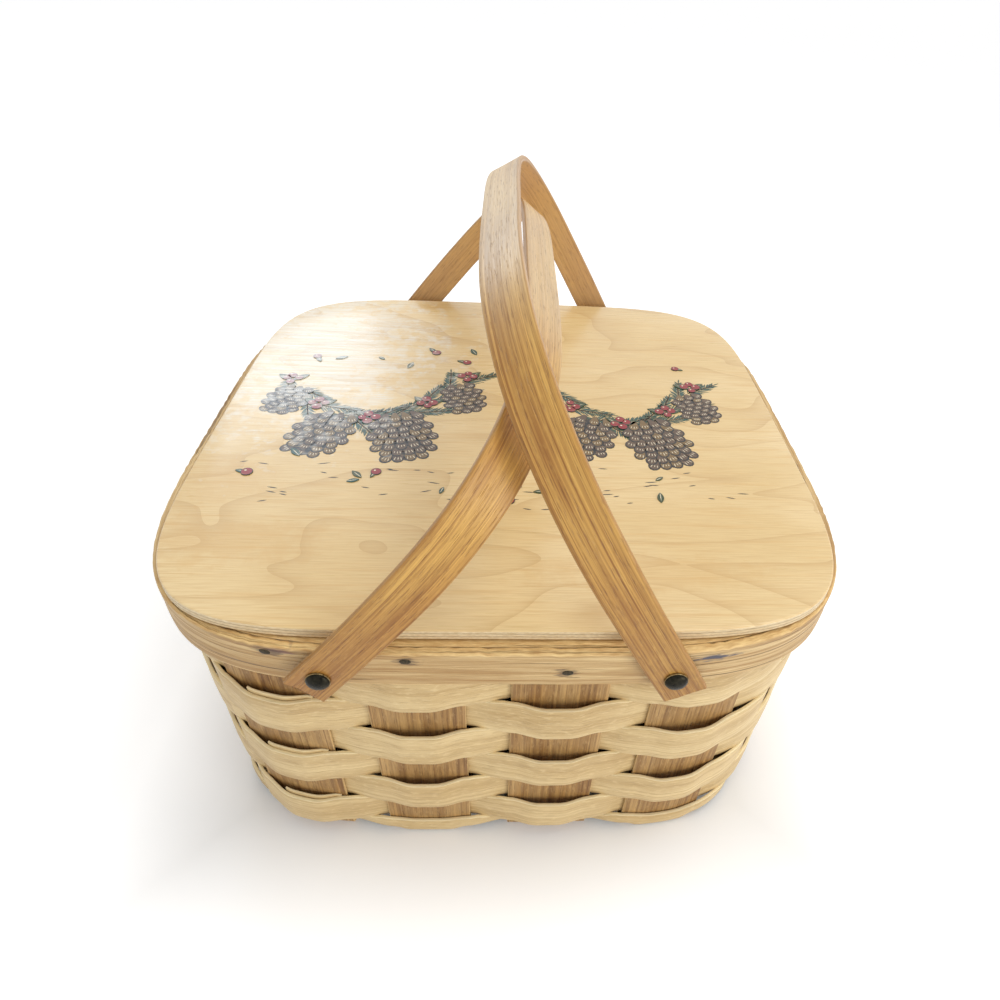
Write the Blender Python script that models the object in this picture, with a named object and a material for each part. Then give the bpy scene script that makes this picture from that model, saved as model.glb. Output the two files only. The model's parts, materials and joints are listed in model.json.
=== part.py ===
"""Square pie basket: a splint basket of eight stakes and eight weavers, bound by two rim hoops,
with a loose plywood lid and two bentwood handles that swing on rivets.

Metres, +Z up, origin on the floor under the middle of the basket. The front faces -Y.
"""

import math

import bmesh
import bpy
from mathutils import Matrix, Vector

# Gap left between two pieces that touch on the real basket
seat_gap = 0.0003
cut_overrun = 0.002

# Lid, whose width the mouth, the stakes' places and the handles follow
lid_width = 0.3050
lid_thickness = 0.0050
lid_roundness = 5.2
lid_easing = 0.0010
lid_stations = 80

# Basket wall, measured on the middle of the stakes
wall_height = 0.1641
mouth_setback = 0.0001
wall_taper = 0.0076
mouth_half_width = lid_width / 2 - mouth_setback
base_half_width = mouth_half_width - wall_taper
mouth_roundness = 4.2
base_roundness = 5.0

# Stakes, the wide uprights that also cross under the basket
stakes_per_side = 4
stake_width = 0.0421
stake_thickness = 0.0016
stake_corner_room = 0.0387
outer_stake_place = mouth_half_width - stake_corner_room - stake_width / 2
stake_pitch = outer_stake_place * 2 / (stakes_per_side - 1)
# The stakes of the front and back stand this far left of the middle
cross_stake_shift = 0.0063
stake_top_drop = 0.0015
heel_radius = 0.0055
stake_core_share = 0.35
stake_section_shares = (-1.0, -stake_core_share, stake_core_share, 1.0)
wall_station_shares = (1.0, 0.66, 0.33)
heel_turn_shares = (0.0, 0.34, 0.67, 1.0)

# Rim hoops, which clamp the top row of the weave between them
hoop_depth = 0.0205
outer_hoop_thickness = 0.0040
inner_hoop_thickness = 0.0050
hoop_easing = 0.0012
scarf_width = 0.0005
scarf_angle = math.radians(80)
scarf_offset = 0.030

# Weavers, the thin bands that go round the stakes between the rim and the heel
weaver_rows = 6
lowest_weaver_edge = 0.0115
weaver_thickness = 0.0018
weaver_pitch = (wall_height - hoop_depth - seat_gap - lowest_weaver_edge) / weaver_rows
weaver_row_gap = 0.0004
weaver_narrow = weaver_pitch - weaver_row_gap
weaver_swell = 0.0008
weaver_bulge = 0.0030
edge_swell_share = 0.15
corner_wave_share = 0.5
stake_edge_clearance = 0.0003
heel_weaver_width = 0.0061
heel_weaver_drop = 0.0034
rim_weaver_clearance = 0.0025
rim_weaver_width = hoop_depth - rim_weaver_clearance

# Cleats under the lid
cleat_width = 0.0160
cleat_thickness = 0.0080
cleat_inset = 0.0320
cleat_end_inset = 0.0505
cleat_easing = 0.0010

# Handles: the outer one pivots on the right, the inner one on the left
pivot_from_stake_edge = 0.0018
pivot_offset = outer_stake_place - stake_width / 2 - pivot_from_stake_edge
pivot_shift = 0.0014
right_pivot = pivot_offset - pivot_shift
left_pivot = -pivot_offset - pivot_shift
pivot_drop = 0.0114
handle_width = 0.0187
handle_thickness = 0.0032
handle_easing = 0.0008
handle_tail = 0.0115
handle_stations = 40
outer_handle_height = 0.1491
outer_handle_roundness = 3.4
outer_handle_taper_share = 0.0
outer_handle_lean = math.radians(29.3)
handle_nesting = 0.0146
inner_handle_height = outer_handle_height - handle_nesting
inner_handle_roundness = 4.2
inner_handle_taper_share = 0.05
inner_handle_lean = math.radians(39.4)

# Rivets and the washers that they are closed over, inside the rim
rivet_radius = 0.0016
rivet_clearance = 0.0003
rivet_head_radius = 0.0049
rivet_head_height = 0.0024
rivet_tail_radius = 0.0026
rivet_tail_length = 0.0010
washer_radius = 0.0045
washer_thickness = 0.0010
round_segments = 12
dome_steps = 3

# Edges sharper than this stay sharp where a piece is shaded smooth
sharp_angle = math.radians(40)


def clear_scene():
    """Removes what the start-up scene holds."""
    for old in list(bpy.data.objects):
        bpy.data.objects.remove(old, do_unlink=True)


def wood(name, colour, roughness):
    """A plain Principled material in a wood colour."""
    return principled(name, colour, roughness, 0.0)


def principled(name, colour, roughness, metallic):
    """A material with one colour all over."""
    material = bpy.data.materials.new(name)
    material.use_nodes = True
    shader = material.node_tree.nodes["Principled BSDF"]
    shader.inputs["Base Color"].default_value = (*colour, 1.0)
    shader.inputs["Roughness"].default_value = roughness
    shader.inputs["Metallic"].default_value = metallic
    material.diffuse_color = (*colour, 1.0)
    return material


def add_object(name, shape, material, matrix=None):
    """Turns a bmesh into a named object."""
    bmesh.ops.recalc_face_normals(shape, faces=shape.faces)
    mesh = bpy.data.meshes.new(name)
    shape.to_mesh(mesh)
    shape.free()
    mesh.materials.append(material)
    piece = bpy.data.objects.new(name, mesh)
    bpy.context.scene.collection.objects.link(piece)
    if matrix is not None:
        piece.matrix_world = matrix
    return piece


def shade_round(piece):
    """Smooth shading with the sharp edges kept."""
    piece.data.shade_smooth()
    piece.data.set_sharp_from_angle(angle=sharp_angle)


def join_loops(loops, closed):
    """A bmesh skin over a row of section loops, capped at both ends unless it is a ring."""
    shape = bmesh.new()
    rings = [[shape.verts.new(point) for point in loop] for loop in loops]
    pairs = list(zip(rings, rings[1:]))
    if closed:
        pairs.append((rings[-1], rings[0]))
    for first, second in pairs:
        count = len(first)
        for i in range(count):
            j = (i + 1) % count
            shape.faces.new((first[i], first[j], second[j], second[i]))
    if not closed:
        shape.faces.new(rings[0])
        shape.faces.new(rings[-1])
    return shape


# The wall's shape: a rounded square that narrows and gets squarer towards the floor

def blend(low, high, share):
    return low + (high - low) * share


def wall_half(height):
    return blend(base_half_width, mouth_half_width, height / wall_height)


def wall_roundness(height):
    return blend(base_roundness, mouth_roundness, height / wall_height)


def turn_to_side(point, side):
    """Turns a point of the front side about the basket's middle to side 0, 1, 2 or 3."""
    return Matrix.Rotation(side * math.pi / 2, 3, "Z") @ point


def front_point_and_normal(lateral, height):
    """The point of the front wall at this distance from its middle, and the way out of it."""
    half = wall_half(height)
    power = wall_roundness(height)
    across = abs(lateral) / half
    out = (1 - across**power) ** (1 / power)
    normal = Vector((math.copysign(across ** (power - 1), lateral), -(out ** (power - 1)), 0))
    return Vector((lateral, -half * out, height)), normal.normalized()


def wall_point(side, lateral, height, offset):
    """A point this far outside the stakes' middle surface."""
    point, normal = front_point_and_normal(lateral, height)
    return turn_to_side(point + normal * offset, side)


def corner_lateral(height):
    """The distance from a side's middle to its corner."""
    return wall_half(height) * 0.5 ** (1 / wall_roundness(height))


def stake_centres(side):
    """Where the stakes stand along a side, from its left end as seen from outside."""
    shift = (-cross_stake_shift, 0, cross_stake_shift, 0)[side]
    middle = (stakes_per_side - 1) / 2
    return [(i - middle) * stake_pitch + shift for i in range(stakes_per_side)]


# Stakes

def wall_sections(side, centre):
    """Sections of one leg of a stake, from its top down to the heel."""
    sections = []
    for share in wall_station_shares:
        height = (wall_height - stake_top_drop) * share
        sections.append(stake_section(side, centre, height, 0.0))
    for turn_share in heel_turn_shares:
        sections.append(stake_section(side, centre, heel_level(), turn_share))
    return sections


def heel_level():
    """The height where a stake starts to bend under the basket."""
    return stake_thickness / 2 + heel_radius


def stake_section(side, centre, height, turn_share):
    """The eight corners of a stake's section, turned from the wall to the floor by turn_share."""
    outer, inner = [], []
    down = Vector((0, 0, -1))
    for share in stake_section_shares:
        lateral = centre + share * stake_width / 2
        point, normal = front_point_and_normal(lateral, height)
        bend_centre = point - normal * heel_radius
        angle = turn_share * math.pi / 2
        out = normal * math.cos(angle) + down * math.sin(angle)
        middle = bend_centre + out * heel_radius
        outer.append(turn_to_side(middle + out * stake_thickness / 2, side))
        inner.append(turn_to_side(middle - out * stake_thickness / 2, side))
    return outer + inner[::-1]


def crossings(side):
    """Where the other way's stakes cross a stake of this side, from its own leg to the far one."""
    return stake_centres(1) if side == 0 else stake_centres(2)


def floor_sections(side, centre, rank):
    """Sections where the stake passes over and under the crossing stakes of the floor."""
    lift = (stake_thickness + seat_gap) / 2
    middle_level = stake_thickness + seat_gap / 2
    down = Vector((0, 0, -1))
    sections = []
    for place, crossing in enumerate(crossings(side)):
        crossed = stakes_per_side - 1 - place if side else place
        over = (crossed + rank) % 2 == side
        level = middle_level + (lift if over else -lift)
        for edge in (-1, 1):
            along = crossing + edge * stake_width / 2
            outer, inner = [], []
            for share in stake_section_shares:
                middle = Vector((centre + share * stake_width / 2, along, level))
                outer.append(turn_to_side(middle + down * stake_thickness / 2, side))
                inner.append(turn_to_side(middle - down * stake_thickness / 2, side))
            sections.append(outer + inner[::-1])
    return sections


def mirror_section(section, side):
    """The same section on the opposite side of the basket, with its corners in the same order."""
    turned = Matrix.Rotation(-side * math.pi / 2, 3, "Z")
    back = Matrix.Rotation(side * math.pi / 2, 3, "Z")
    flip = Matrix.Diagonal((1, -1, 1))
    return [back @ (flip @ (turned @ corner)) for corner in section]


def make_stake(name, side, centre, rank, material):
    """One stake: down the wall, woven across the floor and up the opposite wall."""
    leg = wall_sections(side, centre)
    far_leg = [mirror_section(section, side) for section in reversed(leg)]
    sections = leg + floor_sections(side, centre, rank) + far_leg
    return add_object(name, join_loops(sections, False), material)


# Weavers

def side_stations(side, row, height):
    """Rows of (distance from the side's middle, place in the weave, swell) along one side.

    The place in the weave is 1 outside a stake, -1 inside it and 0 halfway.
    """
    centres = stake_centres(side)
    reach = stake_width / 2 + stake_edge_clearance
    corner = corner_lateral(height)
    near_left = (centres[0] - reach - corner) / 2
    near_right = (centres[-1] + reach + corner) / 2
    signs = [weave_sign(side, place, row) for place in range(stakes_per_side)]
    rows = [(near_left, signs[0] * corner_wave_share, 0.0)]
    for place, (centre, sign) in enumerate(zip(centres, signs)):
        for share in stake_section_shares:
            on_edge = abs(share) == 1
            rows.append(
                (centre + share * reach, sign, edge_swell_share if on_edge else 1.0)
            )
        if place < stakes_per_side - 1:
            rows.append((centre + stake_pitch / 2, 0.0, 0.0))
    rows.append((near_right, signs[-1] * corner_wave_share, 0.0))
    rows.append((corner, 0.0, 0.0))
    return rows


def weave_sign(side, place, row):
    """1 where this row passes outside the stake, -1 where it passes inside."""
    return 1 if (side * stakes_per_side + place + row) % 2 else -1


def weave_reach():
    """How far a weaver's middle lies from a stake's middle where they cross."""
    return (stake_thickness + weaver_thickness) / 2 + seat_gap


def weaver_section(side, lateral, offset, low, high):
    """The four corners of a weaver's section, whose middle lies this far outside the stakes'."""
    outer = offset + weaver_thickness / 2
    inner = offset - weaver_thickness / 2
    return [
        wall_point(side, lateral, high, outer),
        wall_point(side, lateral, low, outer),
        wall_point(side, lateral, low, inner),
        wall_point(side, lateral, high, inner),
    ]


def make_weaver(name, row, height, narrow, more, bulge, ceiling, material):
    """A closed band whose middle runs at this height, wider by more and bulging at each stake."""
    sections = []
    for side in range(4):
        for lateral, wave, swell in side_stations(side, row, height):
            core = 1.0 if swell == 1.0 else 0.0
            offset = wave * (weave_reach() + bulge * core)
            half = (narrow + swell * more) / 2
            high = min(height + half, ceiling)
            sections.append(weaver_section(side, lateral, offset, height - half, high))
    return add_object(name, join_loops(sections, True), material)


def make_heel_weaver(name, row, top, material):
    """The narrow last row, which dips over the heel where it lies outside a stake."""
    sections = []
    low = top - heel_weaver_width
    for side in range(4):
        for lateral, wave, swell in side_stations(side, row, top):
            offset = wave * weave_reach()
            dip = heel_weaver_drop * max(wave, 0) * swell
            sections.append(weaver_section(side, lateral, offset, low - dip, top))
    return add_object(name, join_loops(sections, True), material)


def rim_bottom():
    return wall_height - hoop_depth


def weaver_height(row):
    """The middle height of row 0, the highest under the rim, and of the rows below it."""
    return rim_bottom() - seat_gap - weaver_pitch / 2 - row * weaver_pitch


# Rim hoops

def hoop_section(side, lateral, inner, outer, eased_outside):
    """A hoop's section between two offsets, with both edges of its showing face eased."""
    low, high = rim_bottom(), wall_height
    shown, hidden = (outer, inner) if eased_outside else (inner, outer)
    step = math.copysign(hoop_easing, hidden - shown)
    corners = [
        (hidden, low),
        (shown + step, low),
        (shown, low + hoop_easing),
        (shown, high - hoop_easing),
        (shown + step, high),
        (hidden, high),
    ]
    return [wall_point(side, lateral, height, offset) for offset, height in corners]


def make_hoop(name, inner, outer, eased_outside, material):
    """A closed hoop between two offsets from the stakes' middle."""
    middle_height = wall_height - hoop_depth / 2
    sections = []
    for side in range(4):
        for lateral, _, _ in side_stations(side, 0, middle_height):
            sections.append(hoop_section(side, lateral, inner, outer, eased_outside))
    return add_object(name, join_loops(sections, True), material)


def hoop_seat():
    """How far a hoop's hidden face lies from the stakes' middle: the weave fits between."""
    return weave_reach() + weaver_thickness / 2 + seat_gap


def cut_scarf(hoop, lateral, inner, outer):
    """Opens the hoop with the slanted slit where its two lapped ends meet."""
    middle_height = wall_height - hoop_depth / 2
    centre = wall_point(2, lateral, middle_height, (inner + outer) / 2)
    slant = Matrix.Rotation(scarf_angle, 4, "Z")
    length = (outer - inner) / math.cos(scarf_angle) + cut_overrun * 4
    size = Matrix.Diagonal((scarf_width, length, hoop_depth + cut_overrun * 2, 1))
    cutter = unit_cutter(hoop.name + "_scarf", Matrix.Translation(centre) @ slant @ size)
    subtract(hoop, cutter)


def unit_cutter(name, matrix):
    """A box-shaped cutter: a unit cube that the matrix scales and places."""
    shape = bmesh.new()
    bmesh.ops.create_cube(shape, size=1.0, matrix=matrix)
    return as_cutter(add_object(name, shape, bpy.data.materials["cutter"]))


def as_cutter(piece):
    piece.hide_render = True
    piece.display_type = "WIRE"
    return piece


def subtract(piece, cutter):
    """Cuts the cutter's shape out of the piece."""
    modifier = piece.modifiers.new(cutter.name, "BOOLEAN")
    modifier.operation = "DIFFERENCE"
    modifier.solver = "EXACT"
    modifier.object = cutter


# Lid

def outline_points(half, roundness, count):
    """Points of a rounded square about the middle, evenly spread by angle."""
    points = []
    for i in range(count):
        angle = math.tau * (i + 0.5) / count
        across, along = math.cos(angle), math.sin(angle)
        reach = half / (abs(across) ** roundness + abs(along) ** roundness) ** (1 / roundness)
        points.append((reach * across, reach * along))
    return points


def lid_underside():
    return wall_height + seat_gap


def make_lid_panel(material):
    """The plywood square with bowed sides and eased edges."""
    low = lid_underside()
    high = low + lid_thickness
    half = lid_width / 2
    layers = (
        (half - lid_easing, low),
        (half, low + lid_easing),
        (half, high - lid_easing),
        (half - lid_easing, high),
    )
    loops = []
    for reach, height in layers:
        points = outline_points(reach, lid_roundness, lid_stations)
        loops.append([Vector((x, y, height)) for x, y in points])
    return add_object("lid_panel", join_loops(loops, False), material)


def make_cleat(name, along, material):
    """A batten under the lid, which keeps it from sliding off the rim."""
    shape = bmesh.new()
    bmesh.ops.create_cube(shape, size=1.0)
    length = lid_width - cleat_end_inset * 2
    size = Matrix.Diagonal((length, cleat_width, cleat_thickness, 1))
    bmesh.ops.transform(shape, matrix=size, verts=shape.verts)
    bmesh.ops.bevel(
        shape, geom=shape.edges, offset=cleat_easing, segments=1, affect="EDGES"
    )
    level = lid_underside() - seat_gap - cleat_thickness / 2
    return add_object(name, shape, material, Matrix.Translation((0, along, level)))


# Handles

def handle_axis_height():
    return wall_height - pivot_drop


def leg_inner_face():
    """Where a handle's leg starts: just clear of the outer hoop's widest point."""
    return mouth_half_width + hoop_seat() + outer_hoop_thickness + seat_gap


def handle_line(height, roundness, taper_share):
    """Centre line of a handle as (along the basket, above the pivot), front foot first."""
    reach = leg_inner_face() + handle_thickness / 2
    points = [(-reach, -handle_tail)]
    for i in range(handle_stations + 1):
        angle = math.pi * i / handle_stations
        along, up = -math.cos(angle), math.sin(angle)
        scale = ((abs(along) / reach) ** roundness + (up / height) ** roundness) ** (-1 / roundness)
        taper = 1 - taper_share * (scale * up / height) ** 2
        points.append((along * scale * taper, up * scale))
    points.append((reach, -handle_tail))
    return [Vector((0, along, up)) for along, up in points]


def handle_section(point, tangent):
    """A strip's section with its four edges eased."""
    across = Vector((1, 0, 0))
    out = across.cross(tangent).normalized()
    half_width, half_thickness = handle_width / 2, handle_thickness / 2
    corners = (
        (half_width - handle_easing, half_thickness),
        (half_width, half_thickness - handle_easing),
        (half_width, handle_easing - half_thickness),
        (half_width - handle_easing, -half_thickness),
        (handle_easing - half_width, -half_thickness),
        (-half_width, handle_easing - half_thickness),
        (-half_width, half_thickness - handle_easing),
        (handle_easing - half_width, half_thickness),
    )
    return [point + across * wide + out * thick for wide, thick in corners]


def make_handle(name, pivot, lean, line, material):
    """A bent strip, built upright about its pivot and then leaned to its place at rest."""
    loops = []
    for i, point in enumerate(line):
        before = line[max(i - 1, 0)]
        after = line[min(i + 1, len(line) - 1)]
        loops.append(handle_section(point, (after - before).normalized()))
    place = Matrix.Translation((pivot, 0, handle_axis_height()))
    matrix = place @ Matrix.Rotation(lean, 4, "Y")
    return add_object(name, join_loops(loops, False), material, matrix)


# Rivets

def spin_profile(profile, segments):
    """A solid turned about Z from (radius, height) points that start and end on the axis."""
    shape = bmesh.new()
    corners = [shape.verts.new((radius, 0, height)) for radius, height in profile]
    edges = [shape.edges.new(pair) for pair in zip(corners, corners[1:])]
    bmesh.ops.spin(
        shape,
        geom=corners + edges,
        cent=(0, 0, 0),
        axis=(0, 0, 1),
        angle=math.tau,
        steps=segments,
        use_merge=True,
        use_duplicate=False,
    )
    bmesh.ops.remove_doubles(shape, verts=shape.verts, dist=rivet_radius / 1000)
    return shape


def face_depth(lateral, height, offset):
    """How far from the basket's middle plane a front face lies at this place."""
    point, normal = front_point_and_normal(lateral, height)
    return -(point + normal * offset).y


def washer_face():
    """The plane that the washers' outer face lies on, just inside the inner hoop."""
    lateral = pivot_offset + pivot_shift + washer_radius
    height = handle_axis_height() - washer_radius
    return face_depth(lateral, height, -hoop_seat() - inner_hoop_thickness) - seat_gap


def rivet_profile():
    """Domed head, shank and spread tail, from the head down, about the rivet's own axis."""
    seat = leg_inner_face() + handle_thickness + seat_gap
    tail_top = washer_face() - washer_thickness - seat_gap
    profile = []
    for i in range(dome_steps + 1):
        angle = math.pi / 2 * i / dome_steps
        profile.append(
            (rivet_head_radius * math.sin(angle), seat + rivet_head_height * math.cos(angle))
        )
    profile += [
        (rivet_radius, seat),
        (rivet_radius, tail_top),
        (rivet_tail_radius, tail_top),
        (rivet_tail_radius, tail_top - rivet_tail_length),
        (0, tail_top - rivet_tail_length),
    ]
    return profile


def washer_profile():
    hole = rivet_radius + rivet_clearance
    face = washer_face()
    return [
        (hole, face),
        (washer_radius, face),
        (washer_radius, face - washer_thickness),
        (hole, face - washer_thickness),
        (hole, face),
    ]


def rivet_matrix(pivot, front):
    """Stands a piece turned about Z along the pivot's axis, pointing out of the front or back."""
    quarter = math.pi / 2 if front else -math.pi / 2
    place = Matrix.Translation((pivot, 0, handle_axis_height()))
    return place @ Matrix.Rotation(quarter, 4, "X")


def bore_cutter(pivot):
    """One long cutter for the rivet holes of the front and the back."""
    reach = leg_inner_face() + handle_thickness + cut_overrun
    shape = bmesh.new()
    bmesh.ops.create_cone(
        shape,
        cap_ends=True,
        segments=round_segments,
        radius1=rivet_radius + rivet_clearance,
        radius2=rivet_radius + rivet_clearance,
        depth=reach * 2,
        matrix=Matrix.Rotation(math.pi / 2, 4, "X"),
    )
    name = "bore_right" if pivot > 0 else "bore_left"
    place = Matrix.Translation((pivot, 0, handle_axis_height()))
    return as_cutter(add_object(name, shape, bpy.data.materials["cutter"], place))


def rivet_crosses(centre, pivot):
    """Whether the rivets at this pivot pass through the stake that stands here."""
    return abs(centre - pivot) < stake_width / 2 + rivet_radius + rivet_clearance


def make_stakes(material):
    stakes = []
    for side, way in ((0, "cross"), (1, "long")):
        for rank, centre in enumerate(stake_centres(side)):
            name = f"stake_{way}_{rank + 1}"
            stakes.append(make_stake(name, side, centre, rank, material))
    return stakes


def make_weavers(material):
    ceiling = rim_bottom() - seat_gap
    for row in range(weaver_rows):
        name = f"weaver_{row + 1}"
        height = weaver_height(row)
        sizes = (weaver_narrow, weaver_swell, weaver_bulge, ceiling)
        make_weaver(name, row, height, *sizes, material)
    top = weaver_height(weaver_rows) + weaver_pitch / 2 - seat_gap
    make_heel_weaver("weaver_heel", weaver_rows, top, material)


def make_rim(hoop_wood, weaver_wood):
    """The two hoops and the row of weave that they clamp."""
    seat = hoop_seat()
    outer = make_hoop("rim_hoop_outer", seat, seat + outer_hoop_thickness, True, hoop_wood)
    inner = make_hoop("rim_hoop_inner", -seat - inner_hoop_thickness, -seat, False, hoop_wood)
    cut_scarf(outer, scarf_offset, seat, seat + outer_hoop_thickness)
    cut_scarf(inner, -scarf_offset, -seat - inner_hoop_thickness, -seat)
    ceiling = wall_height - stake_top_drop
    level = ceiling - rim_weaver_width / 2
    clamped = make_weaver("weaver_rim", -1, level, rim_weaver_width, 0, 0, ceiling, weaver_wood)
    return outer, inner, clamped


def make_lid(panel_wood, cleat_wood):
    make_lid_panel(panel_wood)
    along = lid_width / 2 - cleat_inset
    make_cleat("lid_cleat_front", -along, cleat_wood)
    make_cleat("lid_cleat_back", along, cleat_wood)


def make_handles(material):
    outer_line = handle_line(
        outer_handle_height, outer_handle_roundness, outer_handle_taper_share
    )
    inner_line = handle_line(
        inner_handle_height, inner_handle_roundness, inner_handle_taper_share
    )
    right = make_handle("handle_right", right_pivot, -outer_handle_lean, outer_line, material)
    left = make_handle("handle_left", left_pivot, inner_handle_lean, inner_line, material)
    return right, left


def make_rivets(material):
    for pivot, side in ((right_pivot, "right"), (left_pivot, "left")):
        for front, end in ((True, "front"), (False, "back")):
            matrix = rivet_matrix(pivot, front)
            rivet = spin_profile(rivet_profile(), round_segments)
            shade_round(add_object(f"rivet_{end}_{side}", rivet, material, matrix))
            washer = spin_profile(washer_profile(), round_segments)
            shade_round(add_object(f"washer_{end}_{side}", washer, material, matrix))


def main():
    clear_scene()
    wood("cutter", (1.0, 0.0, 0.0), 0.5)
    stake_wood = wood("stake_wood", (0.46, 0.27, 0.11), 0.55)
    weaver_wood = wood("weaver_wood", (0.58, 0.43, 0.24), 0.5)
    hoop_wood = wood("hoop_wood", (0.60, 0.42, 0.23), 0.5)
    lid_wood = wood("lid_wood", (0.72, 0.55, 0.34), 0.25)
    cleat_wood = wood("cleat_wood", (0.66, 0.50, 0.30), 0.6)
    handle_wood = wood("handle_wood", (0.52, 0.29, 0.11), 0.35)
    rivet_metal = principled("rivet_metal", (0.06, 0.055, 0.045), 0.35, 1.0)

    stakes = make_stakes(stake_wood)
    make_weavers(weaver_wood)
    outer_hoop, inner_hoop, clamped = make_rim(hoop_wood, weaver_wood)
    make_lid(lid_wood, cleat_wood)
    right, left = make_handles(handle_wood)
    make_rivets(rivet_metal)

    bores = {right: bore_cutter(right_pivot), left: bore_cutter(left_pivot)}
    for handle, bore in bores.items():
        subtract(handle, bore)
        for piece in (outer_hoop, inner_hoop, clamped):
            subtract(piece, bore)
    for stake, centre in zip(stakes, stake_centres(0)):
        for pivot, handle in ((right_pivot, right), (left_pivot, left)):
            if rivet_crosses(centre, pivot):
                subtract(stake, bores[handle])
    for handle in (right, left):
        shade_round(handle)


main()
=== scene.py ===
"""The looks of a square woven pie basket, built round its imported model.

Metres, +Z up, the front faces -Y. The wall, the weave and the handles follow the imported
model's shapes, with rounder sections and the small unevenness of split wood.
"""

import json
import math
import random

import bmesh
import bpy
import numpy as np
from mathutils import Matrix, Vector


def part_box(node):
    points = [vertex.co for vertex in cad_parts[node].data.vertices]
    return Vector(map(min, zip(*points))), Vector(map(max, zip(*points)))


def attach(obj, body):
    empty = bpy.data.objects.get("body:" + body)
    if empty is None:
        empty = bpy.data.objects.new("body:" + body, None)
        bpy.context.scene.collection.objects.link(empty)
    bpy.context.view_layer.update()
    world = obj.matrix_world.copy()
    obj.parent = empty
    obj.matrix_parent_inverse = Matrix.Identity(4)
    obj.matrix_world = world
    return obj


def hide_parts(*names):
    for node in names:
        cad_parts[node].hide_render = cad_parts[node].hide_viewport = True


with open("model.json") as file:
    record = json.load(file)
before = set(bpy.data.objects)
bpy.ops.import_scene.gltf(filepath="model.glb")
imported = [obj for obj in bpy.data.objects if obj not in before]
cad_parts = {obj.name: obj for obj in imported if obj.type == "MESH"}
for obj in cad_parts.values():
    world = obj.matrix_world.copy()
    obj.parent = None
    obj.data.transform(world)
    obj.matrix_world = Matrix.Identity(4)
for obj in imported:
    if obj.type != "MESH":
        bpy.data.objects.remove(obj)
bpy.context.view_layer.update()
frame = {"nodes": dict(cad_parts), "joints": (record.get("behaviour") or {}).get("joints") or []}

# Sizes read from the frame
hoop_low, hoop_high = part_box("rim_hoop_outer")
lid_low, lid_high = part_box("lid_panel")
wall_height = hoop_high.z
rim_bottom = hoop_low.z
lid_half = lid_high.x
lid_top = lid_high.z
lid_bottom = lid_low.z
pivots = {joint["child"]: Vector(joint["pos_m"]) for joint in frame["joints"] if "pos_m" in joint}

# Wall, measured on the middle of the stakes
seat_gap = 0.0003
mouth_half_width = 0.1524
base_half_width = 0.1448
mouth_roundness = 4.2
base_roundness = 5.0
side_steps = 96

# Stakes, of which the front's and back's stand left of the middle
stake_count = 4
stake_width = 0.0421
stake_thickness = 0.0016
stake_easing = 0.0004
stake_corner_room = 0.0387
outer_stake_place = mouth_half_width - stake_corner_room - stake_width / 2
stake_pitch = outer_stake_place * 2 / (stake_count - 1)
cross_stake_shift = 0.0063
stake_top_drop = 0.0015
stake_leg_steps = 40
stake_floor_steps = 110
heel_radius = 0.0055
heel_steps = 8
floor_run_out = 0.018
floor_end_gap = 0.002

# Weavers
weaver_rows = 6
lowest_weaver_edge = 0.0115
weaver_thickness = 0.0018
weaver_easing = 0.00045
weaver_pitch = (rim_bottom - seat_gap - lowest_weaver_edge) / weaver_rows
weaver_narrow = weaver_pitch - 0.0004
weaver_swell = 0.0008
weaver_bulge = 0.0030
weaver_lap = 0.0016
weaver_unevenness = 0.00035
weaver_crown = 0.00025
weaver_proud = 0.0001
heel_weaver_width = 0.0061
heel_weaver_drop = 0.0034
heel_weaver_lap = 0.0026
rim_weaver_width = wall_height - rim_bottom - 0.0025
weave_reach = (stake_thickness + weaver_thickness) / 2 + seat_gap

# Splint ends that stand up behind their own start
lap_rows = (1, 3, 5)
lap_thickness = 0.0009
lap_easing = 0.0002
lap_rise = 0.0030
lap_inset = 0.001
lap_reach = (-0.0090, 0.0185)
lap_gap = 0.00015
lap_stake_gap = 0.0001
lap_steps = 40

# Hoops: how far a hidden face lies from the stakes' middle, and how uneven they are
rim_seat = weave_reach + weaver_thickness / 2 + seat_gap
outer_hoop_thickness = 0.0040
inner_hoop_thickness = 0.0050
hoop_easing = 0.0009
hoop_groove = 0.00010
hoop_wobble = 0.00022
hoop_chip = 0.0012
filler_gap = 0.0001
filler_side_gap = 0.0002
filler_easing = 0.0003

# Nails, as (from the middle, above the floor) on the front and (from the middle) elsewhere
front_nails = ((-0.0906, 0.1598), (-0.0380, 0.1592), (0.0255, 0.1520))
other_nails = (-0.098, -0.036, 0.028, 0.096)
nail_scatter = (0.006, 0.004)
nail_profile = [(0, 0.00060), (0.0010, 0.00055), (0.0019, 0.0003), (0.0022, 0.0), (0, -0.0003)]
nail_sink = 0.0002
nail_stretch = (1.15, 0.8, 1, 1)

# Lid
lid_roundness = 5.2
lid_round_over = 0.0008
lid_points = 320

# Handles
handle_width = 0.0187
handle_thickness = 0.0032
handle_easing = 0.0007
handle_tail = 0.0115
handle_unevenness = 0.00020
handle_sway = 0.0003
handle_cup = 0.00012
# How far from its ends a handle is darkened as painted shade
handle_foot_shade_reach = 0.11
# Where along its arch a handle's painted sheen begins
handle_sheen_from = 0.74
handle_shapes = {
    "right_handle": {"height": 0.1491, "roundness": 3.4, "taper": 0.0, "lean": -29.3},
    "left_handle": {"height": 0.1345, "roundness": 4.2, "taper": 0.05, "lean": 39.4},
}
leg_inner_face = mouth_half_width + rim_seat + outer_hoop_thickness + seat_gap

# Rivets
rivet_radius = 0.0016
rivet_clearance = 0.0003
rivet_head_radius = 0.0049
rivet_head_height = 0.0024
rivet_rim_height = 0.0005
rivet_tail_radius = 0.0026
rivet_tail_length = 0.0010
rivet_rubbed_share = 0.95
washer_radius = 0.0045
washer_thickness = 0.0010
rivet_segments = 48

# Edges sharper than this stay sharp
sharp_angle = math.radians(40)


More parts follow.
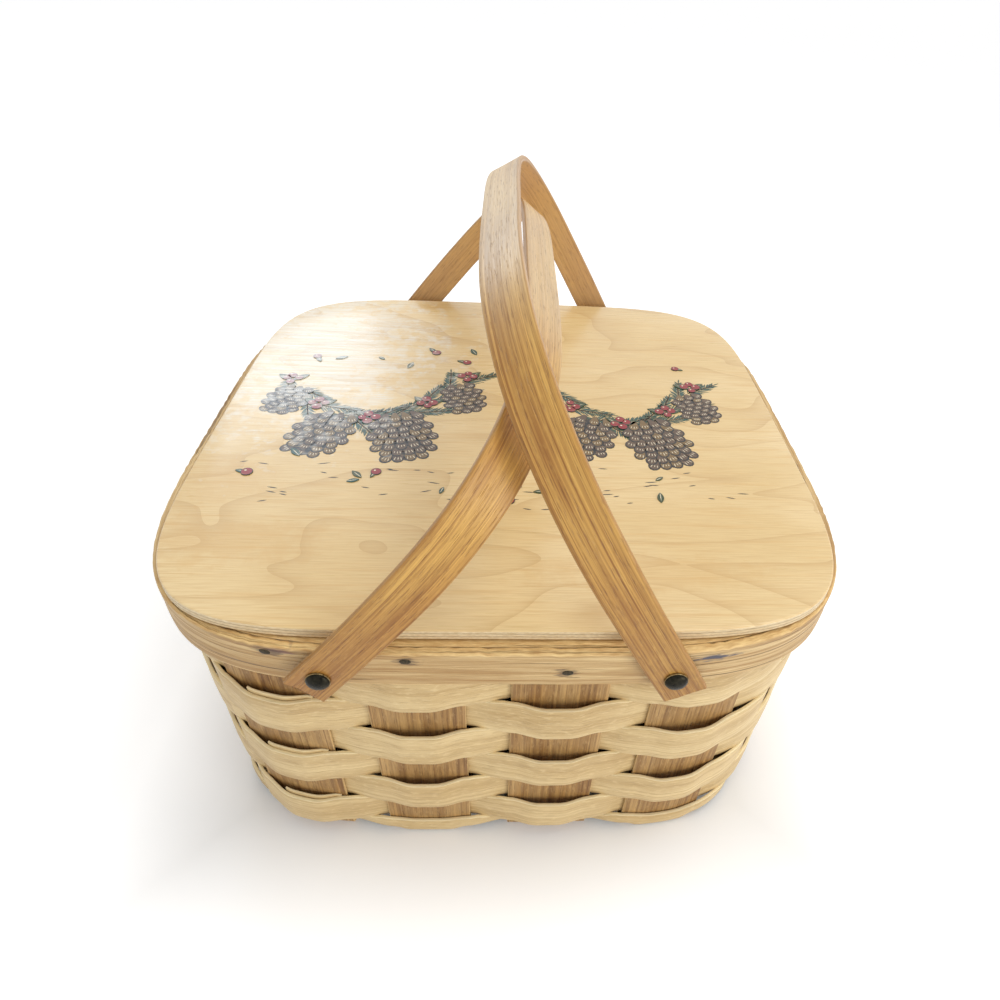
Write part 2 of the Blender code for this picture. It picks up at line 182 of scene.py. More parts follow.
def srgb(red, green, blue):
    """A colour given as 0 to 255, as the photograph shows it, in the linear values that Blender uses."""
    values = np.array([red, green, blue]) / 255
    linear = np.where(values <= 0.04045, values / 12.92, ((values + 0.055) / 1.055) ** 2.4)
    return (*linear, 1.0)


# Materials

class Nodes:
    """Short ways to add shader nodes to a tree and join them."""

    def __init__(self, tree):
        self.tree = tree

    def node(self, kind, inputs, **settings):
        made = self.tree.nodes.new("ShaderNode" + kind)
        for name, value in settings.items():
            setattr(made, name, value)
        for socket, value in inputs.items():
            if isinstance(value, bpy.types.NodeSocket):
                self.tree.links.new(value, made.inputs[socket])
            else:
                made.inputs[socket].default_value = value
        return made

    def math(self, operation, first, second=0.0):
        return self.node("Math", {0: first, 1: second}, operation=operation).outputs[0]

    def seen(self):
        """1 for a ray from the camera, or off or through something shiny, and 0 for others."""
        path = self.node("LightPath", {}).outputs
        seen = self.math("MAXIMUM", path["Is Camera Ray"], path["Is Glossy Ray"])
        return self.math("MAXIMUM", seen, path["Is Transmission Ray"])


class Recipe(Nodes):
    """A material under construction."""

    def __init__(self, name, **values):
        self.material = bpy.data.materials.new(name)
        self.material.use_nodes = True
        super().__init__(self.material.node_tree)
        self.shader = self.tree.nodes["Principled BSDF"]
        for socket, value in values.items():
            self.shader.inputs[socket.replace("_", " ")].default_value = value

    def grain_place(self):
        """The place on a strip: metres along it and across it."""
        return self.node("UVMap", {}, uv_map="Grain").outputs["UV"]

    def object_place(self):
        return self.node("TexCoord", {}).outputs["Object"]

    def marked(self, name):
        """The value that the mesh's points carry under this name, or 0 where they carry none."""
        return self.node("Attribute", {}, attribute_name=name).outputs["Fac"]

    def part(self, vector, name):
        return self.node("SeparateXYZ", {0: vector}).outputs[name]

    def stretch(self, vector, scales):
        return self.node("VectorMath", {0: vector, 1: scales}, operation="MULTIPLY").outputs[0]

    def shift(self, vector, step):
        return self.node("VectorMath", {0: vector, 1: step}, operation="ADD").outputs[0]

    def noise(self, place, scales, detail=3.0, roughness=0.55, distortion=0.0):
        """Noise at a place, its fineness given as one number, or as one along each axis."""
        each_axis = isinstance(scales, tuple)
        inputs = {
            "Vector": self.stretch(place, scales) if each_axis else place,
            "Scale": 1.0 if each_axis else scales,
            "Detail": detail,
            "Roughness": roughness,
            "Distortion": distortion,
        }
        return self.node("TexNoise", inputs).outputs[0]

    def span(self, value, low, high, start=0.0, end=1.0):
        """value carried from low..high to start..end, and held there beyond."""
        inputs = {"Value": value, "From Min": low, "From Max": high, "To Min": start, "To Max": end}
        return self.node("MapRange", inputs).outputs[0]

    def mix(self, factor, first, second, blend_type="MIX"):
        inputs = {0: factor, 6: first, 7: second}
        return self.node("Mix", inputs, data_type="RGBA", blend_type=blend_type).outputs[2]

    def lay(self, tone, colour, where, amount, blend_type="MIX"):
        """tone with a colour laid over it, as strongly as where times amount."""
        return self.mix(self.math("MULTIPLY", where, amount), tone, colour, blend_type)

    def blot(self, spot, centre, size, amount):
        """How strongly a ragged oval mark of this half size shows at a place."""
        away = self.shift(spot, tuple(-c for c in centre))
        away = self.stretch(away, tuple(1 / s for s in size))
        length = self.node("VectorMath", {0: away}, operation="LENGTH").outputs["Value"]
        ragged = self.noise(spot, (150.0, 150.0, 900.0))
        reach = self.math("ADD", length, self.span(ragged, 0.3, 0.7, -0.6, 0.6))
        return self.span(reach, 0.55, 1.15, amount, 0.0)

    def paint(self, colour):
        self.tree.links.new(colour, self.shader.inputs["Base Color"])

    def gloss(self, noise, low, high):
        """Roughness that goes from low to high with a noise."""
        self.tree.links.new(self.span(noise, 0.3, 0.7, low, high), self.shader.inputs["Roughness"])

    def relief(self, height, distance):
        made = self.node("Bump", {"Height": height, "Distance": distance, "Strength": 1.0})
        self.tree.links.new(made.outputs[0], self.shader.inputs["Normal"])


def split_wood(name, colours, streaks, contrast, threads, relief, gloss, lines, flecked):
    """Wood split along its grain: fibres, streaks and pores along a strip, and its cut edges.

    colours are the pale, the middle and the dark wood and the colour of the edges. streaks and threads are
    how many broad streaks and dark threads there are to the metre across the strip, lines is how
    strongly the fine fibres and pores show, and flecked is how strongly the pale flecks do. A
    handle's crown is painted paler and greyer, with fainter fibres, as a painted sheen; its feet are
    painted darker as painted shade; and its inner face is plain and tan. The edges' colour is pale cut
    wood, pushed paler on the weavers as a painted highlight and dark on the handles as painted shade.
    """
    pale, middle, dark, cut = colours
    wood = Recipe(name)
    place = wood.grain_place()
    drift = wood.noise(place, (14.0, 60.0, 0.0), 2.0)
    broad = wood.noise(place, (5.0, streaks, 0.0), 3.0, 0.6, 0.1)
    fine = wood.noise(place, (9.0, 980.0, 0.0), 4.0, 0.7)
    thread = wood.noise(place, (2.2, threads, 0.0), 2.0, 0.6)
    pits = wood.span(wood.noise(place, (110.0, 1500.0, 0.0), 2.0, 0.5), 0.58, 0.68)
    flecks = wood.span(wood.noise(place, (200.0, 620.0, 0.0)), 0.54, 0.66)
    # The handles' crown is marked for a painted sheen: paler, greyer and with fainter fibres, standing in
    # for the reflection of the light above
    painted_sheen = wood.marked("painted_sheen")
    inner = wood.marked("inner")
    shown = wood.span(painted_sheen, 0.0, 1.0, lines, lines * 0.3)
    shown = wood.math("MULTIPLY", shown, wood.span(inner, 0.0, 1.0, 1.0, 0.3))

    tone = wood.mix(wood.span(broad, 0.5 - contrast, 0.5 + contrast), dark, middle)
    tone = wood.mix(wood.span(drift, 0.35, 0.75, 0.0, 0.8), tone, pale)
    # Painted sheen: pale grey laid over the crown
    tone = wood.lay(tone, srgb(212, 192, 156), painted_sheen, 0.62)
    # Painted shade: the handles darker towards their feet
    tone = wood.lay(tone, dark, wood.marked("foot"), 0.50)
    tone = wood.lay(tone, srgb(202, 166, 122), inner, 0.70)
    tone = wood.lay(tone, dark, wood.span(fine, 0.40, 0.66), shown)
    tone = wood.lay(tone, dark, wood.span(thread, 0.54, 0.60), shown)
    tone = wood.lay(tone, dark, pits, lines * 0.5, "MULTIPLY")
    tone = wood.lay(tone, pale, flecks, flecked)
    # The edges' colour: pale cut wood, pushed paler on the weavers as a painted highlight and dark on the
    # handles as painted shade
    wood.paint(wood.lay(tone, cut, wood.marked("edge"), 0.75))
    wood.gloss(fine, gloss - 0.06, gloss + 0.10)
    wood.relief(wood.math("SUBTRACT", fine, wood.math("MULTIPLY", pits, 0.8)), relief)
    return wood.material


def weaver_material():
    # The last colour, near white, is the cut edges' pale wood made paler still as a painted highlight of
    # the light on the top edges
    colours = srgb(240, 216, 164), srgb(224, 196, 141), srgb(180, 146, 92), srgb(255, 240, 196)
    return split_wood("weaver_ash", colours, streaks=120.0, contrast=0.28, threads=540.0,
                      relief=0.00016, gloss=0.48, lines=0.36, flecked=0.35)


def stake_material():
    colours = srgb(214, 176, 116), srgb(180, 136, 76), srgb(116, 77, 34), srgb(222, 190, 134)
    return split_wood("stake_ash", colours, streaks=420.0, contrast=0.13, threads=540.0,
                      relief=0.00018, gloss=0.55, lines=0.5, flecked=0.25)


def handle_material():
    # The last colour, a dark brown for the side faces, is painted shade
    colours = srgb(250, 204, 110), srgb(232, 176, 88), srgb(136, 84, 28), srgb(158, 112, 58)
    return split_wood("handle_oak", colours, streaks=380.0, contrast=0.27, threads=820.0,
                      relief=0.00011, gloss=0.36, lines=0.70, flecked=0.10)


def hoop_material():
    """The rim's coarse wood, sawn yellow along the front's top, with a stain and nail halos."""
    wood = Recipe("hoop_ash")
    place = wood.grain_place()
    spot = wood.object_place()
    broad = wood.noise(place, (9.0, 240.0, 0.0), 3.0, 0.6, 0.6)
    drift = wood.noise(place, (12.0, 50.0, 0.0), 2.0)
    fine = wood.noise(place, (18.0, 760.0, 0.0), 4.0, 0.7)
    split = wood.span(wood.noise(place, (9.0, 460.0, 0.0), 2.0, 0.5, 0.3), 0.64, 0.69)
    rough = wood.noise(place, (160.0, 900.0, 0.0))
    pale, middle, dark = srgb(244, 217, 162), srgb(234, 205, 150), srgb(166, 124, 70)
    tone = wood.mix(wood.span(broad, 0.30, 0.68), dark, middle)
    tone = wood.mix(wood.span(drift, 0.45, 0.75, 0.0, 0.5), tone, pale)
    tone = wood.mix(wood.span(fine, 0.44, 0.60, 0.0, 0.70), tone, dark)
    tone = wood.lay(tone, srgb(110, 72, 36), split, 0.7)
    sawn = wood.mix(wood.span(rough, 0.35, 0.7), srgb(246, 212, 146), srgb(198, 152, 90))
    front = wood.span(wood.part(spot, "Y"), -0.128, -0.100, 0.85, 0.15)
    tone = wood.lay(tone, sawn, wood.marked("edge"), front)
    marks = [
        ((0.0850, -0.1565, 0.1586), (0.0085, 0.02, 0.0018), srgb(64, 68, 88), 0.95),
        ((-0.0860, -0.1575, 0.1618), (0.0052, 0.02, 0.0018), srgb(120, 84, 84), 0.7),
    ]
    for lateral, height in front_nails:
        marks.append(((lateral, -0.1590, height), (0.0052, 0.02, 0.0026), srgb(92, 70, 50), 0.75))
    for centre, size, colour, amount in marks:
        tone = wood.mix(wood.blot(spot, centre, size, amount), tone, colour)
    wood.paint(tone)
    wood.gloss(fine, 0.44, 0.62)
    wood.relief(wood.math("SUBTRACT", fine, wood.math("MULTIPLY", split, 1.2)), 0.0006)
    return wood.material


def lid_material():
    """Rotary-cut birch under varnish: grain along X, cathedral figure and golden patches."""
    wood = Recipe("lid_birch", Coat_Weight=0.25, Coat_Roughness=0.16)
    place = wood.object_place()
    field = wood.noise(place, (5.0, 13.0, 0.0), 2.0, 0.45, 0.3)
    late = wood.math("POWER", wood.math("FRACT", wood.math("MULTIPLY", field, 10.0)), 7.0)
    streak = wood.noise(place, (16.0, 330.0, 0.0), 4.0, 0.6)
    fine = wood.noise(place, (60.0, 1500.0, 0.0), 3.0, 0.6)
    cloud = wood.noise(place, (9.0, 17.0, 0.0), 3.0, 0.5, 0.5)
    golden, dark = srgb(216, 173, 107), srgb(194, 154, 96)
    tone = wood.mix(wood.span(cloud, 0.40, 0.70), srgb(230, 200, 143), srgb(240, 214, 163))
    tone = wood.mix(wood.span(streak, 0.52, 0.74, 0.0, 0.60), tone, golden)
    tone = wood.lay(tone, dark, late, 0.42)
    tone = wood.mix(wood.span(fine, 0.42, 0.70, 0.0, 0.34), tone, dark)
    for centre, size, amount in (
        ((-0.118, -0.103, lid_top), (0.040, 0.014, 0.02), 0.28),
        ((-0.130, -0.060, lid_top), (0.020, 0.020, 0.02), 0.25),
        ((0.060, -0.120, lid_top), (0.050, 0.010, 0.02), 0.20),
    ):
        tone = wood.mix(wood.blot(place, centre, size, amount), tone, golden)
    # Pale scratches at the back left: wear in the varnish and a painted glare
    wood.paint(scuffs_and_glare(wood, place, tone))
    wood.gloss(streak, 0.24, 0.40)
    wood.relief(wood.math("ADD", fine, wood.math("MULTIPLY", late, -0.3)), 0.00004)
    return wood.material


def scuffs_and_glare(recipe, place, tone):
    """tone under fine pale scratches along X in the scratched varnish at the lid's back left, laid where
    the window's glare falls: partly real wear and partly a painted glare.
    """
    scratches = recipe.noise(place, (26.0, 900.0, 0.0), 3.0, 0.6)
    # The field of the window's glare, where pale scratches are laid: wear and painted glare together
    field = recipe.blot(place, (-0.118, 0.078, lid_top), (0.070, 0.092, 0.5), 1.0)
    return recipe.lay(tone, srgb(236, 234, 226), recipe.span(scratches, 0.42, 0.60, 0.20, 0.62), field)


def ply_edge_material():
    """The lid's cut edge: three plies between dark glue lines."""
    wood = Recipe("lid_ply_edge")
    place = wood.object_place()
    height = wood.span(wood.part(place, "Z"), lid_bottom, lid_top)
    plies = wood.math("FRACT", wood.math("MULTIPLY", height, 3.0))
    line = wood.span(wood.math("ABSOLUTE", wood.math("SUBTRACT", plies, 0.5)), 0.38, 0.5)
    grit = wood.noise(place, (500.0, 500.0, 1500.0))
    tone = wood.mix(wood.span(grit, 0.35, 0.7), srgb(214, 190, 148), srgb(238, 220, 184))
    wood.paint(wood.lay(tone, srgb(140, 110, 70), line, 0.75))
    wood.gloss(grit, 0.45, 0.6)
    wood.relief(wood.math("SUBTRACT", grit, line), 0.0002)
    return wood.material


def cleat_material():
    wood = Recipe("cleat_pine")
    place = wood.object_place()
    fine = wood.noise(place, (30.0, 700.0, 700.0), 4.0, 0.6, 0.2)
    rings = wood.noise(place, (8.0, 160.0, 160.0), 2.0)
    tone = wood.mix(wood.span(rings, 0.4, 0.6), srgb(226, 194, 142), srgb(204, 164, 106))
    wood.paint(wood.mix(wood.span(fine, 0.4, 0.75, 0.0, 0.5), tone, srgb(176, 134, 82)))
    wood.gloss(fine, 0.5, 0.65)
    wood.relief(fine, 0.0002)
    return wood.material


def rivet_material():
    """Dark antiqued metal, rubbed bright round the head's rim."""
    metal = Recipe("rivet_bronze", Metallic=1.0)
    place = metal.object_place()
    cloud = metal.noise(place, 420.0, 4.0, 0.6)
    tone = metal.mix(metal.span(cloud, 0.35, 0.7), srgb(24, 24, 21), srgb(52, 49, 40))
    rubbed = metal.span(cloud, 0.35, 0.55, 0.35, 1.0)
    metal.paint(metal.lay(tone, srgb(172, 150, 106), metal.marked("edge"), rubbed))
    metal.gloss(cloud, 0.22, 0.42)
    metal.relief(metal.noise(place, 1800.0), 0.00006)
    return metal.material


def nail_material():
    iron = Recipe("nail_iron", Metallic=0.8)
    cloud = iron.noise(iron.object_place(), 1500.0)
    iron.paint(iron.mix(iron.span(cloud, 0.35, 0.7), srgb(38, 36, 30), srgb(92, 80, 60)))
    iron.gloss(cloud, 0.4, 0.7)
    iron.relief(cloud, 0.0001)
    return iron.material


# Objects and meshes made of sections

def add_object(name, data):
    made = bpy.data.objects.new(name, data)
    bpy.context.scene.collection.objects.link(made)
    return made


def new_mesh(name, points, faces, *materials):
    mesh = bpy.data.meshes.new(name)
    mesh.from_pydata(points, [], faces)
    for material in materials:
        mesh.materials.append(material)
    return mesh


def finish_mesh(name, mesh):
    """An object from a mesh, with its faces pointing out and smooth shading between sharp edges."""
    work = bmesh.new()
    work.from_mesh(mesh)
    bmesh.ops.recalc_face_normals(work, faces=work.faces)
    work.to_mesh(mesh)
    work.free()
    mesh.shade_smooth()
    mesh.set_sharp_from_angle(angle=sharp_angle)
    return add_object(name, mesh)


def mark_points(mesh, name, values, shape):
    """Gives each point of a mesh a value that its material reads under this name."""
    spread = np.broadcast_to(values, shape).astype(np.float32)
    mesh.attributes.new(name, "FLOAT", "POINT").data.foreach_set("value", spread.ravel())


def place_piece(piece, body, slot, *nodes):
    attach(piece, body)
    if nodes:
        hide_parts(*nodes)


def strip_profile(thickness, easing, face_steps, corner_steps=2):
    """Points round a strip's section, as four arrays: share of the half width, extra across,
    place through the thickness, and how much of a cut edge the point is."""
    level = thickness / 2
    face = [(2 * i / face_steps - 1, 0.0, level, 0.0) for i in range(face_steps + 1)]
    corner = []
    for k in range(1, corner_steps + 1):
        angle = math.pi / 2 * k / corner_steps
        corner.append((1, easing * math.sin(angle), level - easing + easing * math.cos(angle), 1))
    top = corner + [(share, extra, -through, e) for share, extra, through, e in reversed(corner)]
    inner = [(share, extra, -through, e) for share, extra, through, e in reversed(face)]
    bottom = [(-share, -extra, -through, e) for share, extra, through, e in top]
    return np.array(face + top + inner + bottom, float).T


def across_distance(profile, width, easing):
    """Distance round the section to each of its points from the middle of the outer face, and
    its whole round."""
    share, extra, through, _ = profile
    wide = share * (width / 2 - easing) + extra
    points = np.stack([wide, through], 1)
    steps = np.linalg.norm(np.roll(points, -1, axis=0) - points, axis=1)
    return np.concatenate([[0.0], np.cumsum(steps)]) - width / 2


def distances(line):
    """Distance along a line of points, from its first."""
    steps = np.linalg.norm(np.diff(line, axis=0), axis=1)
    return np.concatenate([[0.0], np.cumsum(steps)])


def skin(name, points, along, across, edge, ring, material):
    """A mesh over points[station, place round the section], with the grain's place as its UV map."""
    stations, count = points.shape[:2]
    i, j = np.meshgrid(np.arange(stations if ring else stations - 1), np.arange(count), indexing="ij")
    next_i, next_j = (i + 1) % stations, (j + 1) % count
    faces = np.stack(
        [i * count + j, i * count + next_j, next_i * count + next_j, next_i * count + j], -1
    )
    u = np.stack([along[i], along[i], along[i + 1], along[i + 1]], -1).reshape(-1)
    v = np.stack([across[j], across[j + 1], across[j + 1], across[j]], -1).reshape(-1)
    face_list = faces.reshape(-1, 4).tolist()
    uv = np.stack([u, v], 1)
    if not ring:
        for station, order in ((0, range(count)), (stations - 1, reversed(range(count)))):
            loop = list(order)
            face_list.append([station * count + k for k in loop])
            ends = [(along[station] + 0.001 * math.sin(k), across[k]) for k in loop]
            uv = np.concatenate([uv, np.array(ends)])
    mesh = new_mesh(name, points.reshape(-1, 3).tolist(), face_list, material)
    mesh.uv_layers.new(name="Grain")
    mesh.uv_layers["Grain"].uv.foreach_set("vector", uv.astype(np.float32).ravel())
    mark_points(mesh, "edge", edge, (stations, count))
    return finish_mesh(name, mesh)


def ripple(rng, distance, length, waves, amount):
    """A gentle unevenness along a strip that meets itself after this length."""
    total = np.zeros_like(distance)
    for wave in waves:
        turned_by = rng.uniform(0, math.tau)
        total += np.sin(math.tau * wave * distance / length + turned_by) * rng.uniform(0.4, 1.0)
    return total * amount / len(waves)


def smooth(value):
    value = np.clip(value, 0, 1)
    return value * value * (3 - 2 * value)


# The wall's shape: a rounded square that narrows and gets squarer towards the floor

def wall_size(height):
    """The wall's half width, and the power that rounds its corners, at a height."""
    share = height / wall_height
    half = base_half_width + (mouth_half_width - base_half_width) * share
    power = base_roundness + (mouth_roundness - base_roundness) * share
    return half, power


def wall_frame(lateral, height):
    """Points of the front wall at these distances from its middle, and the ways out of it."""
    half, power = wall_size(height)
    across = np.abs(lateral) / half
    out = (1 - across**power) ** (1 / power)
    way = np.stack([np.sign(lateral) * across ** (power - 1), -(out ** (power - 1)), 0 * out], -1)
    point = np.stack([lateral, -half * out, height + 0 * out], -1)
    return point, way / np.linalg.norm(way, axis=-1, keepdims=True)


def turn(points, side):
    """Points of the front turned to side 0, 1, 2 or 3."""
    rotation = np.array(Matrix.Rotation(side * math.pi / 2, 3, "Z"))
    return points @ rotation.T


def wall_points(side, lateral, height, offset):
    point, way = wall_frame(lateral, height)
    return turn(point + way * offset[..., None], side)


def corner_lateral(height):
    half, power = wall_size(height)
    return half * 0.5 ** (1 / power)


def wall_round(height):
    """For a band round the wall at this height: the places along a side, closer together towards
    the corners, and the distance run to each of the four sides' places and back to the first."""
    share = np.linspace(-1, 1, side_steps + 1)[:-1]
    lateral = corner_lateral(height) * (0.72 * share + 0.28 * np.sin(share * math.pi / 2))
    level = np.full_like(lateral, height)
    line = np.concatenate([wall_points(side, lateral, level, 0 * lateral) for side in range(4)])
    return lateral, distances(np.concatenate([line, line[:1]]))


def on_side(along, side):
    """The distances run to the places of one side."""
    return along[side * side_steps:(side + 1) * side_steps]


def stake_centres(side):
    shift = (-cross_stake_shift, 0, cross_stake_shift, 0)[side]
    middle = (stake_count - 1) / 2
    return [(i - middle) * stake_pitch + shift for i in range(stake_count)]


def weave(side, row, lateral, height):
    """How a row weaves along a side: its place in the weave, from -1 inside to 1 outside a stake,
    and its closeness to a stake's middle, from 0 to 1."""
    reach = stake_width / 2 + seat_gap
    run = stake_pitch / 2 - reach
    corner = corner_lateral(height)
    wave = np.zeros_like(lateral)
    core = np.zeros_like(lateral)
    for place, centre in enumerate(stake_centres(side)):
        sign = 1 if (side * stake_count + place + row) % 2 else -1
        run_left = corner - reach + centre if place == 0 else run
        run_right = corner - reach - centre if place == stake_count - 1 else run
        runs = np.where(lateral < centre, run_left, run_right)
        away = np.abs(lateral - centre)
        beyond = np.clip((away - reach) / runs, 0, 1)
        mine = away <= reach + runs
        wave = np.where(mine, sign * (1 - beyond) * (1 + 0.25 * beyond), wave)
        core = np.where(mine, smooth(1 - (away / reach - 0.25) / 0.75), core)
    return wave, core


# Weavers

def weaver_height(row):
    return rim_bottom - seat_gap - weaver_pitch / 2 - row * weaver_pitch


def weaver_band(node, row, height, ceiling, seed, material, narrow, swell=0.0, bulge=0.0, dip=0.0,
                lap=0.0):
    """A splint that runs once round the basket, over and under the stakes, no higher than ceiling.

    narrow is its width between two stakes, and swell and bulge are how much wider and how far
    out it is over one. Its lower edge dips there, and its upper edge is raised by lap beside it.
    """
    rng = random.Random(seed)
    profile = strip_profile(weaver_thickness, weaver_easing, 6)
    share, extra, through, edge = profile
    lateral, along = wall_round(height)
    points = []
    for side in range(4):
        here = on_side(along, side)
        wave, core = weave(side, row, lateral, height)
        wobble = ripple(rng, here, along[-1], (5, 9, 13), weaver_unevenness) * core
        lean = ripple(rng, here, along[-1], (4, 7, 11), weaver_unevenness)
        outside = np.clip(wave, 0, 1)
        half = (narrow + swell * core) / 2 - weaver_easing
        low = height - half - dip * outside * smooth(core * 1.5)
        raised = lap * (1 - core) * smooth((wave - 0.1) / 0.6)
        high = np.minimum(height + half + raised, ceiling - weaver_easing)
        middle = (low + high) / 2 + wobble
        reach = (high - low) / 2
        z = np.minimum(middle[:, None] + share * reach[:, None] + extra, ceiling)
        crown = (1 - share**2) * weaver_crown * outside[:, None]
        offset = wave * (weave_reach + bulge * core) + outside * core * weaver_proud
        offset = offset[:, None] + through + share * lean[:, None] * core[:, None] + crown
        points.append(wall_points(side, lateral[:, None] + 0 * z, z, offset))
    across = across_distance(profile, narrow + swell / 2, weaver_easing)
    shift = rng.uniform(0, 50)
    name = node.replace("weaver_", "weaver_splint_")
    band = skin(name, np.concatenate(points), along + shift, across + shift, edge, True, material)
    place_piece(band, "basket", "weaver_wood", node)


def make_weavers(material):
    ceiling = rim_bottom - seat_gap
    for row in range(weaver_rows):
        weaver_band(f"weaver_{row + 1}", row, weaver_height(row), ceiling, 11 + row, material,
                    weaver_narrow, weaver_swell, weaver_bulge, lap=weaver_lap)
    top = weaver_height(weaver_rows) + weaver_pitch / 2 - seat_gap
    weaver_band("weaver_heel", weaver_rows, top - heel_weaver_width / 2, top + heel_weaver_lap, 31,
                material, heel_weaver_width, dip=heel_weaver_drop, lap=heel_weaver_lap)
    top = wall_height - stake_top_drop
    weaver_band("weaver_rim", -1, top - rim_weaver_width / 2, top, 37, material, rim_weaver_width)


def make_laps(material):
    """The ends of three splints, which stand up behind their own start on the first front stake."""
    centre = stake_centres(0)[0]
    profile = strip_profile(lap_thickness, lap_easing, 4)
    share, extra, through, edge = profile
    half = (weaver_narrow + weaver_swell) / 2
    lateral = np.linspace(centre + lap_reach[0], centre + lap_reach[1], lap_steps)
    across = across_distance(profile, half * 2, lap_easing)
    for row in lap_rows:
        height = weaver_height(row)
        wave, core = weave(0, row, lateral, height)
        offset = wave * (weave_reach + weaver_bulge * core)
        offset = offset - (weaver_thickness + lap_thickness) / 2 - lap_gap
        offset = np.maximum(offset, (stake_thickness + lap_thickness) / 2 + lap_stake_gap)
        z = height + lap_rise + share * (half - lap_inset) + extra + 0 * lateral[:, None]
        points = wall_points(0, lateral[:, None] + 0 * z, z, offset[:, None] + through)
        along = distances(points.mean(axis=1))
        lap = skin(f"weaver_lap_{row + 1}", points, along + row, across + row, edge, False, material)
        place_piece(lap, "basket", "weaver_wood")


# Stakes

def leg_points(centre, profile, height, turn_share):
    """A stake's section on the wall at this height, or turned under the basket by turn_share."""
    share, extra, through, _ = profile
    lateral = centre + share * (stake_width / 2 - stake_easing) + extra
    point, way = wall_frame(lateral, np.full_like(lateral, height))
    angle = turn_share * math.pi / 2
    out = way * math.cos(angle) + np.array([0.0, 0.0, -1.0]) * math.sin(angle)
    return point - way * heel_radius + out * (heel_radius + through[:, None])


def floor_level(side, rank, along):
    """The middle height of a stake's floor stretch, over and under the crossing stakes."""
    lift = (stake_thickness + seat_gap) / 2
    middle = stake_thickness + seat_gap / 2
    rest = stake_thickness / 2
    half = stake_width / 2
    crossings = stake_centres(2 if side else 1)
    end, level = crossings[0] - half - floor_run_out, rest
    for place, crossing in enumerate(crossings):
        crossed = stake_count - 1 - place if side else place
        over = (crossed + rank) % 2 == side
        mine = middle + (lift if over else -lift)
        if along <= crossing - half:
            share = (along - end) / (crossing - half - end)
            return level + (mine - level) * float(smooth(share))
        if along <= crossing + half:
            return mine
        end, level = crossing + half, mine
    share = (along - end) / floor_run_out
    return level + (rest - level) * float(smooth(share))


def make_stake(way, side, rank, centre, material, seed):
    """One strip down a wall, round the heel, across the floor and up the opposite wall."""
    profile = strip_profile(stake_thickness, stake_easing, 10)
    share, extra, through, edge = profile
    top = wall_height - stake_top_drop
    heel = stake_thickness / 2 + heel_radius
    leg = [leg_points(centre, profile, z, 0.0) for z in np.linspace(top, heel, stake_leg_steps)]
    leg += [leg_points(centre, profile, heel, t) for t in np.linspace(0, 1, heel_steps + 1)[1:]]
    far = [section * (1.0, -1.0, 1.0) for section in reversed(leg)]
    reach = abs(float(leg[-1][:, 1].mean())) - floor_end_gap
    lateral = centre + share * (stake_width / 2 - stake_easing) + extra
    floor = []
    for along in np.linspace(-reach, reach, stake_floor_steps):
        level = floor_level(side, rank, along)
        floor.append(np.stack([lateral, 0 * lateral + along, level - through], 1))
    points = turn(np.array(leg + floor + far), side)
    shift = random.Random(seed).uniform(0, 50)
    along = distances(points.mean(axis=1)) + shift
    across = across_distance(profile, stake_width, stake_easing) + shift
    piece = skin(f"stake_splint_{way}_{rank + 1}", points, along, across, edge, False, material)
    place_piece(piece, "basket", "stake_wood", f"stake_{way}_{rank + 1}")


def make_stakes(material):
    for side, way in ((0, "cross"), (1, "long")):
        for rank, centre in enumerate(stake_centres(side)):
            make_stake(way, side, rank, centre, material, 50 + side * 10 + rank)


# Rim hoops and their nails

def make_hoop(name, nodes, inner, outer, low, high, easing, material, seed):
    """A split hoop round the mouth, a little uneven, with a rough sawn top."""
    rng = random.Random(seed)
    depth = high - low
    height = (high + low) / 2
    profile = strip_profile(outer - inner, easing, 14, 3)
    share, extra, through, edge = profile
    lateral, along = wall_round(height)
    grooves = np.array([rng.uniform(-1, 1) for _ in share]) * hoop_groove
    sections = []
    for side in range(4):
        here = on_side(along, side)
        wobble = ripple(rng, here, along[-1], (6, 11, 17, 29), hoop_wobble)
        chips = np.abs(ripple(rng, here, along[-1], (61, 97, 131), hoop_chip))
        z = height + share * (depth / 2 - easing) + extra + 0 * lateral[:, None]
        z = z + wobble[:, None] * np.clip(-share, 0, 1)
        z = z - np.minimum(chips, depth * 0.2)[:, None] * np.clip(share, 0, 1) ** 4
        offset = (inner + outer) / 2 + through + grooves + 0 * z
        sections.append(wall_points(side, lateral[:, None] + 0 * z, z, offset))
    across = across_distance(profile, depth, easing) + rng.uniform(0, 9)
    piece = skin(name, np.concatenate(sections), along, across, edge, True, material)
    place_piece(piece, "basket", "hoop_wood", *nodes)


def make_hoops(material):
    """The two hoops, and the thin filler that lies on the stakes' ends between them."""
    full = (rim_bottom, wall_height, hoop_easing, material)
    make_hoop("rim_band_outer", ["rim_hoop_outer"], rim_seat, rim_seat + outer_hoop_thickness, *full, 71)
    make_hoop("rim_band_inner", ["rim_hoop_inner"], -rim_seat - inner_hoop_thickness, -rim_seat, *full, 73)
    low, high = wall_height - stake_top_drop + filler_gap, wall_height - filler_gap
    half = rim_seat - filler_side_gap
    make_hoop("rim_filler", [], -half, half, low, high, filler_easing, material, 79)


